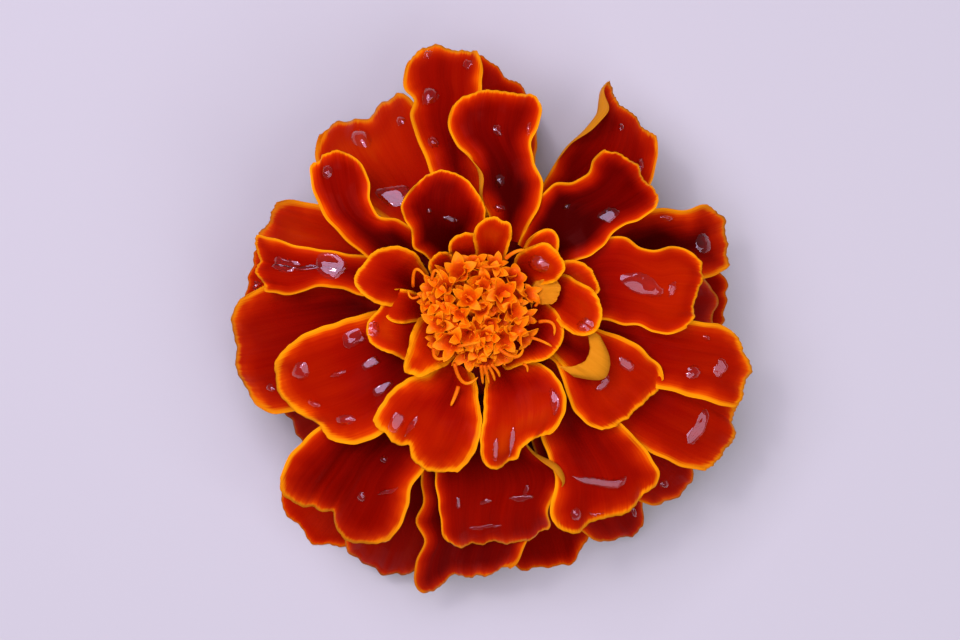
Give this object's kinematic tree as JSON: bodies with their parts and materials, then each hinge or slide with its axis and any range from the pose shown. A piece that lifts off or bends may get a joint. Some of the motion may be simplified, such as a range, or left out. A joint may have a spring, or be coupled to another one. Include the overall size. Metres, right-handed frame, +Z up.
{
  "type": "marigold flower",
  "caption": "Double marigold flower head, picked, lying face up: waved ray petals in overlapping whorls round a disc of tubular florets, on a green calyx with a short stalk stub.",
  "frame": {"origin": "middle of the flower's footprint, on the surface that it lies on", "axes": "+Z up, out of the flower's face; +Y towards the long upper petals"},
  "size_m": [0.0554, 0.0588, 0.0269],
  "materials": {
    "petal": "velvety, wet in places, deep red with an orange margin and a yellow underside; stands in for petal tissue",
    "floret": "matt waxy orange; stands in for petal tissue",
    "green": "smooth ribbed green with darker oil glands; stands in for leaf tissue",
    "water": "clear water drops"
  },
  "bodies": {
    "root": {"ray_petals": "petal", "disc_florets": "floret", "calyx_and_stalk": "green"}
  },
  "joints": []
}
